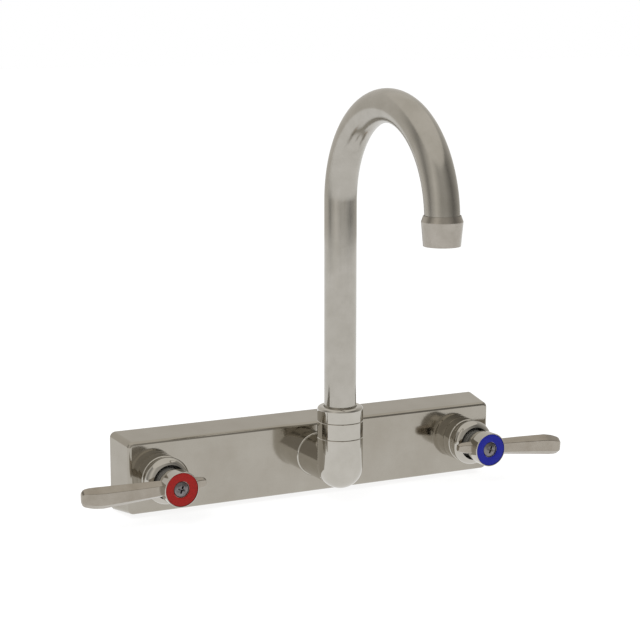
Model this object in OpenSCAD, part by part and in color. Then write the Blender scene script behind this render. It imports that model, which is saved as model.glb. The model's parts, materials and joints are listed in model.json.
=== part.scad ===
// Commercial wall faucet with a swivel gooseneck and two quarter-turn lever valves.
// Origin: on the wall, midway between the valves and level with their axes.
// X runs to the cold side, -Y out of the wall, Z up.

/* [Cover] */
// Distance between the two valve axes
valve_centres = 203.2; // [150:0.1:260]
// From each valve axis to the end of the cover, at the wall
cover_margin = 21.4; // [20:0.1:40]
// Height of the cover at the wall
cover_height = 47; // [44:0.5:70]
// Depth of the cover, from the wall to its front face
cover_depth = 22.5; // [21:0.5:32]
// How far each end of the cover leans in, from the wall to the front
end_draft = 2.8; // [0.5:0.1:3.4]
// How far the top and the bottom lean in, from the wall to the front
side_draft = 2.3; // [0.5:0.1:3]
// Thickness of the cover's sheet
sheet = 1.5; // [0.8:0.1:1.8]
// Outer radius of the bends round the front face
bend_radius = 2; // [0.5:0.1:4]
// Radius of the cover's corners at the wall
corner_radius = 4; // [2.6:0.1:6]
// Thickness of the plate that closes the cover against the wall
plate_thickness = 1.5; // [0.8:0.1:2]

/* [Valve bodies] */
// Outer radius of a valve body
valve_body_r = 14.5; // [13.5:0.1:16]
// Outer radius of the threaded neck that carries the bonnet
neck_r = 11; // [10.6:0.1:11.6]
// Length of the neck beyond the inside of the cover
neck_length = 8.5; // [7:0.1:11]
// Radius of the cartridge chamber
chamber_r = 9; // [8.8:0.1:9.4]
// Metal under the seat of the cartridge
seat_thickness = 5.5; // [4.5:0.1:5.6]
// Radius of the bore through the inlet shank
inlet_bore_r = 6; // [4:0.1:6.3]

/* [Inlets] */
// Outer radius of the inlet shank, over its thread
shank_r = 10.45; // [9.5:0.05:11]
// Length of the inlet shank behind the wall face
shank_length = 29; // [26:0.5:60]
// Length of the free inlet thread at the end of each shank
inlet_thread = 12; // [9:0.5:30]
// Width of the groove between the inlet thread and the mounting thread
relief_width = 1.6; // [0.8:0.1:3]
// Thickness of the wall panel that is clamped between cover and gasket
panel_thickness = 5; // [1:0.5:9]
// Thickness of the fibre washer behind the panel
gasket_thickness = 2; // [1:0.1:3]
// Thickness of the steel washer behind the panel
washer_thickness = 1.6; // [1:0.1:2.5]
// Outer radius of both washers
washer_r = 17.5; // [16.5:0.1:20]
// Size of the lock nut across its flats
lock_nut_flats = 30; // [27:0.5:34]
// Thickness of the lock nut
lock_nut_thickness = 6.5; // [5:0.1:9]

/* [Waterway] */
// Distance of the cross tube's axis from the wall
tube_out = 11.5; // [11:0.1:11.8]
// Outer radius of the cross tube
tube_r = 6.5; // [6.2:0.1:6.8]
// Radius of the bore in the cross tube
tube_bore_r = 4.2; // [3:0.1:4.3]
// Outer radius of the socket boss on the side of a valve body
socket_boss_r = 8.6; // [8.3:0.1:8.9]
// How far the socket boss stands out of the valve body
socket_boss_out = 7; // [6:0.1:12]
// Depth of the socket for the cross tube
socket_depth = 9; // [8:0.1:10]
// Outer radius of the boss that the outlet screws into
centre_boss_r = 12.5; // [11.8:0.1:14]
// Depth of the centre boss's threaded socket
centre_socket_depth = 11; // [10.5:0.1:12]

/* [Bonnets] */
// Outer radius of a bonnet at the cover
bonnet_r = 13.4; // [12.9:0.1:14.5]
// Length of a bonnet out of the cover
bonnet_length = 16.5; // [15:0.1:20]
// Radius of a bonnet's domed front edge
dome_round = 4.7; // [4:0.1:5.2]
// How far the dome bulges past the bonnet's side
dome_bulge = 0.3; // [0:0.1:1]
// Radius of the opening inside the dome
lip_r = 9.4; // [9:0.1:10]
// Depth of the turned groove round a bonnet
bonnet_groove = 0.4; // [0.2:0.1:0.8]

/* [Cartridges] */
// Radius of the flange that the bonnet holds down
flange_r = 10.6; // [10.3:0.1:10.8]
// Thickness of the flange
flange_thickness = 2; // [1.5:0.1:3]
// Radius of the cartridge's grey neck, between its ribs
rib_root_r = 7.5; // [6.5:0.1:7.8]
// Height of the ribs on the neck
rib_height = 0.7; // [0.3:0.1:1]
// Number of ribs on the neck
rib_count = 5; // [3:1:7]
// Length of the ribbed neck in front of the flange
neck_rib_length = 10; // [8:0.1:10.6]
// Radius of the fixed ceramic disc
disc_r = 7.3; // [6.8:0.1:7.4]
// Thickness of each ceramic disc
disc_thickness = 2.2; // [1.5:0.1:2.6]
// Radius of the ports in the discs
disc_port_r = 1.9; // [1:0.1:2]
// Thickness of the seat seal under the fixed disc
seat_seal_thickness = 1.8; // [1.2:0.1:2.4]
// Radius of the stem
stem_r = 4.3; // [3.8:0.1:4.6]
// Number of splines on the stem's end
spline_count = 20; // [12:1:24]
// Depth of the splines
spline_depth = 0.35; // [0.2:0.05:0.5]

/* [Handles] */
// Distance of the hub's front rim from the cover's face
hub_front_out = 34.2; // [33:0.1:40]
// Length of the hub along the valve axis
hub_length = 13.2; // [12:0.1:13.6]
// Outer radius of the hub
hub_r = 10.3; // [9.5:0.1:12]
// Radius of the hub where it faces the bonnet
hub_back_r = 8.6; // [7.5:0.1:9.5]
// Reach of the lever from the valve axis to its tip
lever_reach = 56.3; // [45:0.1:75]
// How far the hot lever hangs below level when its valve is shut, in degrees
hot_droop = 1.6; // [0:0.1:10]
// How far the cold lever hangs below level when its valve is shut, in degrees
cold_droop = 3.9; // [0:0.1:10]
// Half the height of the lever's front face where it is widest
lever_face = 3.4; // [3:0.1:5]
// Half the height of the lever at its widest
lever_half = 6.4; // [6:0.1:8.5]
// How far the lever's front face lies behind the hub's front rim
lever_setback = 4.2; // [3:0.1:5]
// Thickness of the lever
lever_thickness = 8; // [6:0.1:8.6]
// Reach of the short tail on the other side of the hub
tail_reach = 18.2; // [15:0.5:24]
// Outer radius of the coloured index ring
index_r = 9.7; // [9:0.1:9.8]
// Thickness of the index ring
index_thickness = 0.9; // [0.5:0.1:1.4]
// Radius of the handle screw's head
screw_head_r = 4.5; // [4:0.1:5.2]
// Height of the handle screw's head
screw_head_height = 2.3; // [1.8:0.1:2.5]
// Radius of the handle screw's thread
screw_r = 2.3; // [1.8:0.05:2.5]

/* [Outlet] */
// Height of the outlet's axis above the valve axes
outlet_rise = 1.5; // [0:0.1:2]
// Distance of the spout's swivel axis from the wall
spout_out = 53; // [45:0.5:75]
// Radius of the elbow's ball and column, the swivel ring and the spout nut
column_r = 13.4; // [13.3:0.1:15]
// Radius of the elbow's level barrel
barrel_r = 13.1; // [12:0.1:13.2]
// Height of the elbow's column above the outlet's axis
column_height = 17.5; // [16.5:0.5:24]
// Radius of the water bore in the elbow
water_r = 6.5; // [4.5:0.1:6.6]
// Outer radius of the elbow's threaded nipple
nipple_r = 9.5; // [9:0.1:9.7]
// Length of the nipple behind the cover's face
nipple_length = 10.5; // [9:0.1:11]
// Depth of the elbow's socket for the spout ferrule
swivel_socket_depth = 11; // [10:0.1:11.4]
// Height of the swivel ring
ring_height = 9.7; // [8.5:0.1:12]
// Height of the spout nut above the swivel ring
nut_height = 8.8; // [6:0.1:12]
// Radius of the nut's rounded shoulder
nut_shoulder = 2; // [0.5:0.1:3]

/* [Spout] */
// Outer radius of the gooseneck tube
spout_r = 9.35; // [8.8:0.05:9.5]
// Wall thickness of the gooseneck tube
spout_wall = 1.2; // [0.8:0.1:1.4]
// Height of the gooseneck's bend centre above the valve axes
bend_height = 157.5; // [110:0.5:260]
// Radius of the gooseneck's bend, to the middle of the tube
neck_bend_r = 57; // [45:0.5:90]
// Length of straight tube below the bend at the outlet
outlet_leg = 7.5; // [6:0.1:30]
// Outer radius of the ferrule that turns in the elbow
ferrule_r = 10.5; // [10.4:0.05:10.7]
// Radius of the ferrule's retaining flange
ferrule_flange_r = 11.6; // [11.2:0.1:11.6]
// Thickness of the ferrule's flange
ferrule_flange_thickness = 2; // [1.5:0.1:2.4]
// Outer radius of the outlet sleeve at its shoulder
sleeve_shoulder_r = 11; // [10.8:0.1:13]
// Outer radius of the outlet sleeve at its mouth
sleeve_mouth_r = 9.9; // [9.8:0.1:11]
// Length of the outlet sleeve below its shoulder
sleeve_length = 13; // [12.6:0.1:20]
// Height of the cone above the sleeve's shoulder
sleeve_cone = 3; // [2:0.1:3.5]
// Thickness of the stream straightener
straightener_thickness = 3.2; // [2.5:0.1:3.6]
// Radius of each hole in the stream straightener
straightener_hole_r = 0.75; // [0.4:0.05:0.8]

/* [Fits] */
// Radial clearance of the parts that turn in a bore
running_fit = 0.06; // [0.03:0.01:0.1]
// Radial clearance of threads and of pressed or brazed parts
thread_fit = 0.05; // [0.02:0.01:0.08]
// Clearance beside parts that move without touching
moving_gap = 0.3; // [0.2:0.05:0.4]
// Clearance round parts that pass through a sheet or a washer
pass_gap = 0.3; // [0.1:0.05:0.4]
// Section radius of the O-rings
seal_r = 0.7; // [0.4:0.05:0.8]

/* [Hidden] */
$fn = 96;

hot = -1;
cold = 1;
sides = [hot, cold];
// How far a cut runs past the face it opens
over = 1;
// Thickness of the slices that the lever is stretched between
slice = 0.02;
// Flat steps in each bend of the cover
bend_steps = 6;
// Lever stations: shares of the reach, of the face, of the half height and of the thickness,
// then how far the middle lies off the blade's axis, as a share of the half height
lever_shares = [
    [0.1, 0.78, 0.72, 1, 0],
    [0.44, 0.88, 0.87, 1, 0],
    [0.78, 1, 1, 1, 0.02],
    [0.88, 0.99, 0.96, 0.96, 0.1],
    [0.96, 0.9, 0.84, 0.72, 0.19],
    [1, 0.62, 0.58, 0.4, 0.2]
];
// Tail stations, with shares of the same sizes but of the tail's reach
tail_shares = [
    [0.3, 0.76, 0.66, 1, 0],
    [0.84, 0.66, 0.5, 0.7, 0],
    [1, 0.4, 0.32, 0.4, 0]
];
// Where across its thickness the lever is widest, and how much of that its back keeps
waist_share = 0.55;
back_share = 0.7;
// How much of the thickness that a thinner station has lost comes off its front
front_loss = 0.65;

// Stations along a valve's axis, as distances from the wall
valve_x = valve_centres / 2;
inner_face = cover_depth - sheet;
neck_end = inner_face + neck_length;
seat_out = plate_thickness + seat_thickness;
fixed_disc_out = seat_out + seat_seal_thickness;
moving_disc_out = fixed_disc_out + disc_thickness;
driver_out = moving_disc_out + disc_thickness;
driver_top = driver_out + disc_thickness;
cavity_top = driver_top + moving_gap;
flange_out = neck_end;
lip_out = flange_out + flange_thickness;
rib_top = lip_out + neck_rib_length;
bonnet_front = cover_depth + bonnet_length;
hub_front = cover_depth + hub_front_out;
hub_back = hub_front - hub_length;

// Inside the hub
index_floor = hub_front - 1.2 * index_thickness;
screw_seat = index_floor - 0.6 * screw_head_height;
web_back = screw_seat - 0.7 * screw_head_height;
spline_r = stem_r - thread_fit - spline_depth / 2;

// Cover and plate at the wall
cover_length = valve_centres + 2 * cover_margin;

// Cross tube and its sockets
socket_boss_reach = valve_body_r + socket_boss_out;
socket_bottom = socket_boss_reach - socket_depth;
tube_end = valve_x - socket_bottom - moving_gap;
tube_seal_x = valve_x - socket_boss_reach + socket_depth / 3;

// Stations up the spout's axis, as heights above the valve axes
column_top = outlet_rise + column_height;
swivel_floor = column_top - swivel_socket_depth;
ring_top = column_top + ring_height;
nut_top = ring_top + nut_height;
ferrule_bottom = swivel_floor + moving_gap;
ring_spigot = 0.4 * swivel_socket_depth;
ring_spigot_r = (column_r + ferrule_r) / 2 + thread_fit;
flange_height = column_top + 0.3 * ring_height;
flange_top = flange_height + ferrule_flange_thickness;
bushing_bottom = flange_top + moving_gap;
nut_spigot = 0.2 * ring_height;
bushing_top = ring_top - nut_spigot;
tube_foot = ferrule_bottom + 0.7 * swivel_socket_depth;
ring_pocket_r = ferrule_flange_r + moving_gap;
swivel_bore_r = ferrule_r + running_fit;
nut_bore_r = spout_r + moving_gap;

// Outlet end of the gooseneck
outlet_y = -spout_out - 2 * neck_bend_r;
tube_tip = bend_height - outlet_leg;
sleeve_shoulder = bend_height + sleeve_cone / 6;
sleeve_top = sleeve_shoulder + sleeve_cone;
sleeve_mouth = sleeve_shoulder - sleeve_length;
straightener_bottom = sleeve_mouth + straightener_thickness / 5;
straightener_top = straightener_bottom + straightener_thickness;
straightener_rim = straightener_thickness / 3;
straightener_r = spout_r - spout_wall + thread_fit;

// The point a given share of the way from one point to another
function between(a, b, share) = a + (b - a) * share;

// Points of the arc that rounds corner p, between the points before and after it
function fillet(p, before, after, r) =
    let (u = (before - p) / norm(before - p),
         v = (after - p) / norm(after - p),
         half = acos(u * v) / 2,
         centre = p + (u + v) / norm(u + v) * r / sin(half),
         start = p + u * r / tan(half) - centre,
         turn = (u[0] * v[1] - u[1] * v[0] > 0 ? -1 : 1) * (180 - 2 * half))
    [for (i = [0 : bend_steps])
        let (t = turn * i / bend_steps)
        centre + [start[0] * cos(t) - start[1] * sin(t), start[0] * sin(t) + start[1] * cos(t)]];

// Outline of the cover across one of its widths: straight at the wall, bent round the front
function drafted_outline(half_width, draft, inset, r) =
    let (front = cover_depth - inset,
         at_wall = half_width - inset + draft * over / cover_depth,
         at_front = half_width - inset - draft * front / cover_depth,
         back = inset > 0 ? -over : 0,
         wall_half = inset > 0 ? at_wall : half_width)
    concat([[-wall_half, back]],
           fillet([-at_front, front], [-wall_half, back], [at_front, front], r),
           fillet([at_front, front], [-at_front, front], [wall_half, back], r),
           [[wall_half, back]]);

// Outline of a splined shaft or of the hole that takes it
function spline_outline(r, depth, count) =
    [for (i = [0 : 4 * count - 1])
        let (crest = i % 4 < 2, a = 90 * i / count)
        (crest ? r : r - depth) * [cos(a), sin(a)]];

// A turned solid from points of radius and height
module turned(points) {
    rotate_extrude() polygon(points);
}

module ring(outer_r, inner_r, height) {
    difference() {
        cylinder(r = outer_r, h = height);
        translate([0, 0, -over]) cylinder(r = inner_r, h = height + 2 * over);
    }
}

module oring(centre_r) {
    rotate_extrude() translate([centre_r, 0]) circle(r = seal_r);
}

// The groove that an O-ring lies in, cut from a shaft of radius shaft_r
module oring_groove(centre_r, shaft_r) {
    translate([0, 0, -1.2 * seal_r])
        ring(shaft_r + over, centre_r - seal_r, 2.4 * seal_r);
}

// Turns a frame with its height axis out of the wall
module out_of_wall() {
    rotate([90, 0, 0]) children();
}

// Frame of one valve: height runs out of the wall, from the wall face
module at_valve(side) {
    translate([side * valve_x, 0, 0]) out_of_wall() children();
}

// Frame of the spout's swivel axis
module at_spout() {
    translate([0, -spout_out, 0]) children();
}

module rounded_plate(length, height, r, thickness) {
    linear_extrude(thickness) union() {
        square([length - 2 * r, height], center = true);
        square([length, height - 2 * r], center = true);
        for (x = [-1, 1], y = [-1, 1])
            translate([x * (length / 2 - r), y * (height / 2 - r)]) circle(r = r);
    }
}

// The cover's solid form, drawn in by inset on every side but the wall's
module cover_form(inset) {
    r = max(bend_radius - inset, sheet / 4);
    back = inset > 0 ? over : 0;
    intersection() {
        translate([0, 0, -back])
            rounded_plate(cover_length - 2 * inset, cover_height - 2 * inset,
                          corner_radius - inset, cover_depth + back);
        rotate([0, -90, 0]) mirror([1, -1, 0])
            linear_extrude(2 * cover_length, center = true)
                polygon(drafted_outline(cover_height / 2, side_draft, inset, r));
        rotate([90, 0, 0])
            linear_extrude(2 * cover_height, center = true)
                polygon(drafted_outline(cover_length / 2, end_draft, inset, r));
    }
}

module body_shell() {
    color("#a7a298") out_of_wall() difference() {
        cover_form(0);
        cover_form(sheet);
        for (side = sides)
            translate([side * valve_x, 0, inner_face - over])
                cylinder(r = neck_r + pass_gap, h = sheet + 2 * over);
        translate([0, outlet_rise, inner_face - over])
            cylinder(r = nipple_r + pass_gap, h = sheet + 2 * over);
    }
}

module back_plate() {
    inset = sheet + pass_gap;
    color("#8f8d88") out_of_wall() difference() {
        rounded_plate(cover_length - 2 * inset, cover_height - 2 * inset,
                      corner_radius - inset, plate_thickness);
        for (side = sides)
            translate([side * valve_x, 0, -over])
                cylinder(r = shank_r + pass_gap, h = plate_thickness + 2 * over);
    }
}

module waterway() {
    color("#b08d57") difference() {
        union() {
            translate([0, -tube_out, 0]) rotate([0, 90, 0])
                cylinder(r = tube_r, h = 2 * tube_end, center = true);
            translate([0, -plate_thickness - pass_gap, outlet_rise]) out_of_wall()
                cylinder(r = centre_boss_r, h = inner_face - plate_thickness - pass_gap);
        }
        translate([0, -tube_out, 0]) rotate([0, 90, 0])
            cylinder(r = tube_bore_r, h = 2 * (tube_end + over), center = true);
        translate([0, -inner_face + centre_socket_depth, outlet_rise]) out_of_wall()
            cylinder(r = nipple_r + thread_fit, h = centre_socket_depth + over);
        for (side = sides)
            translate([side * tube_seal_x, -tube_out, 0]) rotate([0, 90, 0])
                oring_groove(tube_r - seal_r, tube_r);
    }
}

module waterway_orings() {
    color("#222222") for (side = sides)
        translate([side * tube_seal_x, -tube_out, 0]) rotate([0, 90, 0]) oring(tube_r - seal_r);
}

module valve_body(side) {
    chamfer = (shank_r - inlet_bore_r) / 4;
    relief = inlet_thread - shank_length;
    color("#b08d57") at_valve(side) difference() {
        union() {
            turned([[0, -shank_length], [shank_r - chamfer, -shank_length],
                    [shank_r, chamfer - shank_length], [shank_r, relief],
                    [shank_r - chamfer, relief], [shank_r - chamfer, relief + relief_width],
                    [shank_r, relief + relief_width], [shank_r, plate_thickness],
                    [valve_body_r, plate_thickness], [valve_body_r, inner_face],
                    [neck_r, inner_face], [neck_r, neck_end], [0, neck_end]]);
            translate([0, 0, tube_out]) rotate([0, -90 * side, 0])
                cylinder(r = socket_boss_r, h = socket_boss_reach);
        }
        turned([[0, -shank_length - over], [inlet_bore_r, -shank_length - over],
                [inlet_bore_r, seat_out], [chamber_r, seat_out],
                [chamber_r, neck_end + over], [0, neck_end + over]]);
        translate([0, 0, tube_out]) rotate([0, -90 * side, 0]) {
            cylinder(r = tube_bore_r, h = socket_boss_reach);
            translate([0, 0, socket_bottom])
                cylinder(r = tube_r + thread_fit, h = socket_depth + over);
        }
    }
}

module shank_gaskets() {
    color("#7a4b32") for (side = sides) at_valve(side)
        translate([0, 0, -panel_thickness - gasket_thickness])
            ring(washer_r, shank_r + pass_gap, gasket_thickness);
}

module shank_washers() {
    color("#b9b9b6") for (side = sides) at_valve(side)
        translate([0, 0, -panel_thickness - gasket_thickness - washer_thickness])
            ring(washer_r, shank_r + pass_gap, washer_thickness);
}

module shank_nuts() {
    nut_back = panel_thickness + gasket_thickness + washer_thickness + lock_nut_thickness;
    color("#b08d57") for (side = sides) at_valve(side)
        translate([0, 0, -nut_back]) difference() {
            rotate(30) cylinder(r = lock_nut_flats / 2 / cos(30), h = lock_nut_thickness, $fn = 6);
            translate([0, 0, -over])
                cylinder(r = shank_r + thread_fit, h = lock_nut_thickness + 2 * over);
        }
}

module bonnet(side) {
    dome_r = bonnet_r + dome_bulge;
    dome_out = bonnet_front - dome_round;
    groove_out = lip_out - flange_thickness;
    mouth_r = between(lip_r, dome_r, 0.2);
    color("#d8d8d6") at_valve(side) rotate_extrude() difference() {
        union() {
            translate([0, cover_depth]) square([bonnet_r, groove_out - cover_depth]);
            translate([0, groove_out - bonnet_groove])
                square([bonnet_r - bonnet_groove, dome_out - groove_out + bonnet_groove]);
            translate([0, dome_out]) square([dome_r - dome_round, dome_round]);
            translate([dome_r - dome_round, dome_out]) circle(r = dome_round);
        }
        polygon([[-dome_r, cover_depth - over], [neck_r + thread_fit, cover_depth - over],
                 [neck_r + thread_fit, lip_out], [lip_r, lip_out],
                 [mouth_r, bonnet_front + over], [-dome_r, bonnet_front + over]]);
    }
}

module cartridge(side) {
    body_r = chamber_r - thread_fit;
    pitch = neck_rib_length / rib_count;
    bottom = seat_out + seat_seal_thickness / 3;
    seal_out = between(cavity_top, flange_out, 0.4);
    color("#77777a") at_valve(side) difference() {
        union() {
            translate([0, 0, bottom]) cylinder(r = body_r, h = flange_out - bottom);
            translate([0, 0, flange_out]) cylinder(r = flange_r, h = flange_thickness);
            translate([0, 0, lip_out]) cylinder(r = rib_root_r, h = neck_rib_length);
            for (i = [0 : rib_count - 1])
                translate([0, 0, lip_out + (i + 0.4) * pitch])
                    cylinder(r = rib_root_r + rib_height, h = pitch / 2);
        }
        turned([[0, bottom - over], [disc_r + thread_fit, bottom - over],
                [disc_r + thread_fit, cavity_top], [stem_r + running_fit, cavity_top],
                [stem_r + running_fit, rib_top + over], [0, rib_top + over]]);
        translate([0, 0, moving_disc_out])
            ring(chamber_r + over, (disc_r + chamber_r) / 2, 2 * disc_thickness);
        translate([0, 0, driver_out]) rotate([0, 90, 0])
            cylinder(r = 0.8 * disc_thickness, h = 2 * chamber_r, center = true);
        translate([0, 0, seal_out]) oring_groove(chamber_r - seal_r, chamber_r);
    }
}

module cartridge_oring(side) {
    color("#222222") at_valve(side)
        translate([0, 0, between(cavity_top, flange_out, 0.4)]) oring(chamber_r - seal_r);
}

module seat_seal(side) {
    color("#222222") at_valve(side) translate([0, 0, seat_out])
        ring(disc_r - pass_gap, inlet_bore_r - seal_r, seat_seal_thickness);
}

// Two round ports, level with the valve's axis
module fixed_disc(side) {
    color("#e9e6dc") at_valve(side) translate([0, 0, fixed_disc_out])
        linear_extrude(disc_thickness) difference() {
            circle(r = disc_r);
            for (x = [-1, 1]) translate([x * disc_r / 2, 0]) circle(r = disc_port_r);
        }
}

// Two notches that open to the rim, a quarter turn away from the ports when the valve is shut
module moving_disc(side) {
    root = disc_r / 2 - disc_port_r;
    color("#f2efe6") at_valve(side) translate([0, 0, moving_disc_out])
        linear_extrude(disc_thickness) difference() {
            circle(r = disc_r - moving_gap);
            for (y = [-1, 1])
                polygon([[-disc_port_r, y * root], [disc_port_r, y * root],
                         [1.5 * disc_port_r, y * disc_r], [-1.5 * disc_port_r, y * disc_r]]);
        }
}

module stem(side) {
    shaft_top = between(rib_top, hub_back, 0.3);
    top = web_back - moving_gap;
    color("#b08d57") at_valve(side) difference() {
        union() {
            translate([0, 0, driver_out]) cylinder(r = disc_r - moving_gap, h = disc_thickness);
            translate([0, 0, driver_top]) cylinder(r = stem_r, h = shaft_top - driver_top);
            translate([0, 0, shaft_top]) linear_extrude(top - shaft_top)
                polygon(spline_outline(spline_r, spline_depth, spline_count));
        }
        translate([0, 0, hub_back])
            cylinder(r = screw_r + thread_fit, h = top - hub_back + over);
        translate([0, 0, between(cavity_top, flange_out, 0.7)])
            oring_groove(stem_r - seal_r, stem_r);
    }
}

module stem_oring(side) {
    color("#222222") at_valve(side)
        translate([0, 0, between(cavity_top, flange_out, 0.7)]) oring(stem_r - seal_r);
}

// One cross-section of the lever or the tail: front face, widest line and back
module lever_section(reach, shares) {
    face = lever_face * shares[1];
    half = lever_half * shares[2];
    thickness = lever_thickness * shares[3];
    front = hub_front - lever_setback - (lever_thickness - thickness) * front_loss;
    waist = front - waist_share * thickness;
    back = front - thickness;
    translate([reach * shares[0], -lever_half * shares[4], 0]) rotate([0, -90, 0]) linear_extrude(slice)
        polygon([[front, -face], [front, face], [waist, half],
                 [back, back_share * half], [back, -back_share * half], [waist, -half]]);
}

// A blade stretched from one cross-section to the next
module blade(reach, stations) {
    for (i = [0 : len(stations) - 2])
        hull() for (k = [i, i + 1]) lever_section(reach, stations[k]);
}

// One casting serves both sides: it runs along +X with its tail behind it, turned about on the hot side
module lever(side) {
    rotate(side == hot ? 180 + hot_droop : -cold_droop) {
        blade(lever_reach, lever_shares);
        blade(-tail_reach, tail_shares);
    }
}

module handle(side) {
    rim = (hub_r - index_r) / 2;
    socket_r = screw_head_r + pass_gap;
    color("#b6b3ab") at_valve(side) difference() {
        union() {
            turned([[0, hub_back], [hub_back_r, hub_back],
                    [between(hub_back_r, hub_r, 0.6), between(hub_back, hub_front, 0.15)],
                    [hub_r, between(hub_back, hub_front, 0.45)], [hub_r, hub_front - rim],
                    [hub_r - rim, hub_front], [0, hub_front]]);
            lever(side);
        }
        translate([0, 0, index_floor]) cylinder(r = index_r + thread_fit, h = hub_length);
        translate([0, 0, screw_seat]) cylinder(r = socket_r, h = hub_length);
        translate([0, 0, web_back - over]) cylinder(r = screw_r + pass_gap, h = hub_length);
        translate([0, 0, hub_back - over]) linear_extrude(web_back - hub_back + over)
            polygon(spline_outline(spline_r + thread_fit, spline_depth, spline_count));
    }
}

module index_ring(side) {
    color(side == hot ? "#a01e1a" : "#1e2390") at_valve(side)
        translate([0, 0, index_floor]) ring(index_r, screw_head_r + pass_gap, index_thickness);
}

module handle_screw(side) {
    slot = screw_head_r / 4;
    depth = screw_head_height / 2;
    color("#55555a") at_valve(side) difference() {
        union() {
            translate([0, 0, screw_seat]) cylinder(r = screw_head_r, h = screw_head_height);
            translate([0, 0, hub_back + over]) cylinder(r = screw_r, h = screw_seat - hub_back - over);
        }
        translate([0, 0, screw_seat + screw_head_height])
            for (turn = [0, 90]) rotate(turn)
                cube([1.1 * screw_head_r, slot, 2 * depth], center = true);
    }
}

module outlet_elbow() {
    barrel = spout_out - cover_depth;
    drill = 1.15 * water_r;
    color("#d8d8d6") difference() {
        union() {
            translate([0, -spout_out, outlet_rise]) intersection() {
                sphere(r = column_r);
                translate([0, 0, -2 * column_r]) cylinder(r = 2 * column_r, h = 2 * column_r);
            }
            translate([0, -spout_out, outlet_rise]) cylinder(r = column_r, h = column_height);
            translate([0, -cover_depth, outlet_rise]) out_of_wall()
                cylinder(r = barrel_r, h = barrel);
            translate([0, nipple_length - cover_depth, outlet_rise]) out_of_wall()
                cylinder(r = nipple_r, h = nipple_length + over);
        }
        translate([0, nipple_length - cover_depth + over, outlet_rise]) out_of_wall()
            cylinder(r = water_r, h = nipple_length + barrel + over);
        translate([0, -spout_out, outlet_rise - drill])
            cylinder(r = drill, h = drill + column_height);
        translate([0, -spout_out, swivel_floor])
            cylinder(r = swivel_bore_r, h = swivel_socket_depth + over);
        translate([0, -spout_out, column_top - ring_spigot])
            cylinder(r = ring_spigot_r, h = ring_spigot + over);
        translate([0, nipple_length / 2 - cover_depth, outlet_rise]) out_of_wall()
            oring_groove(nipple_r - seal_r, nipple_r);
    }
}

module elbow_oring() {
    color("#222222") translate([0, nipple_length / 2 - cover_depth, outlet_rise]) out_of_wall()
        oring(nipple_r - seal_r);
}

module swivel_ring() {
    edge = nut_shoulder / 6;
    color("#d8d8d6") at_spout()
        turned([[swivel_bore_r, column_top - ring_spigot],
                [ring_spigot_r - thread_fit, column_top - ring_spigot],
                [ring_spigot_r - thread_fit, column_top], [column_r - edge, column_top],
                [column_r, column_top + edge], [column_r, ring_top - edge],
                [column_r - edge, ring_top], [ring_pocket_r, ring_top],
                [ring_pocket_r, flange_height], [swivel_bore_r, flange_height]]);
}

module spout_nut() {
    edge = nut_shoulder / 6;
    color("#d8d8d6") at_spout() difference() {
        union() {
            turned([[0, bushing_top], [ring_pocket_r - thread_fit, bushing_top],
                    [ring_pocket_r - thread_fit, ring_top], [column_r - edge, ring_top],
                    [column_r, ring_top + edge], [column_r, nut_top - nut_shoulder],
                    [0, nut_top - nut_shoulder]]);
            translate([0, 0, nut_top - nut_shoulder]) intersection() {
                cylinder(r = column_r, h = nut_shoulder);
                union() {
                    cylinder(r = column_r - nut_shoulder, h = nut_shoulder);
                    rotate_extrude() translate([column_r - nut_shoulder, 0])
                        circle(r = nut_shoulder);
                }
            }
        }
        translate([0, 0, bushing_top - over])
            cylinder(r = nut_bore_r, h = nut_top - bushing_top + 2 * over);
    }
}

module spout_bushing() {
    color("#efeee8") at_spout() translate([0, 0, bushing_bottom])
        ring(ring_pocket_r - thread_fit, nut_bore_r, bushing_top - bushing_bottom);
}

module spout_ferrule() {
    color("#b08d57") at_spout() difference() {
        turned([[spout_r - spout_wall, ferrule_bottom], [ferrule_r, ferrule_bottom],
                [ferrule_r, flange_height], [ferrule_flange_r, flange_height],
                [ferrule_flange_r, flange_top], [spout_r + thread_fit, flange_top],
                [spout_r + thread_fit, tube_foot], [spout_r - spout_wall, tube_foot]]);
        for (share = [0.3, 0.72])
            translate([0, 0, between(ferrule_bottom, tube_foot, share)])
                oring_groove(ferrule_r - seal_r, ferrule_r);
    }
}

module spout_orings() {
    color("#222222") at_spout() for (share = [0.3, 0.72])
        translate([0, 0, between(ferrule_bottom, tube_foot, share)]) oring(ferrule_r - seal_r);
}

// The three lengths of the gooseneck for a tube of radius r
module gooseneck_form(r, past) {
    translate([0, 0, tube_foot - past]) cylinder(r = r, h = bend_height - tube_foot + past);
    translate([0, -neck_bend_r, bend_height]) rotate([0, 90, 0]) rotate(90)
        rotate_extrude(angle = 180) translate([neck_bend_r, 0]) circle(r = r);
    translate([0, -2 * neck_bend_r, tube_tip - past]) cylinder(r = r, h = outlet_leg + past);
}

module gooseneck() {
    color("#a9a69e") at_spout() difference() {
        gooseneck_form(spout_r, 0);
        gooseneck_form(spout_r - spout_wall, over);
    }
}

module outlet_sleeve() {
    lip = sleeve_shoulder_r - sleeve_mouth_r;
    bore_r = spout_r + thread_fit;
    seat = straightener_top - straightener_rim;
    color("#a39f96") translate([0, outlet_y, 0])
        turned([[straightener_r + thread_fit, sleeve_mouth], [sleeve_mouth_r, sleeve_mouth],
                [sleeve_shoulder_r, sleeve_shoulder - lip / 2],
                [sleeve_shoulder_r, sleeve_shoulder],
                [spout_r + 2 * pass_gap, sleeve_top], [spout_r + pass_gap, sleeve_top],
                [spout_r + pass_gap, bend_height], [bore_r, bend_height], [bore_r, seat],
                [straightener_r + thread_fit, seat]]);
}

module outlet_seal() {
    color("#222222") translate([0, outlet_y, straightener_top])
        ring(spout_r, spout_r - spout_wall, tube_tip - straightener_top);
}

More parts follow.
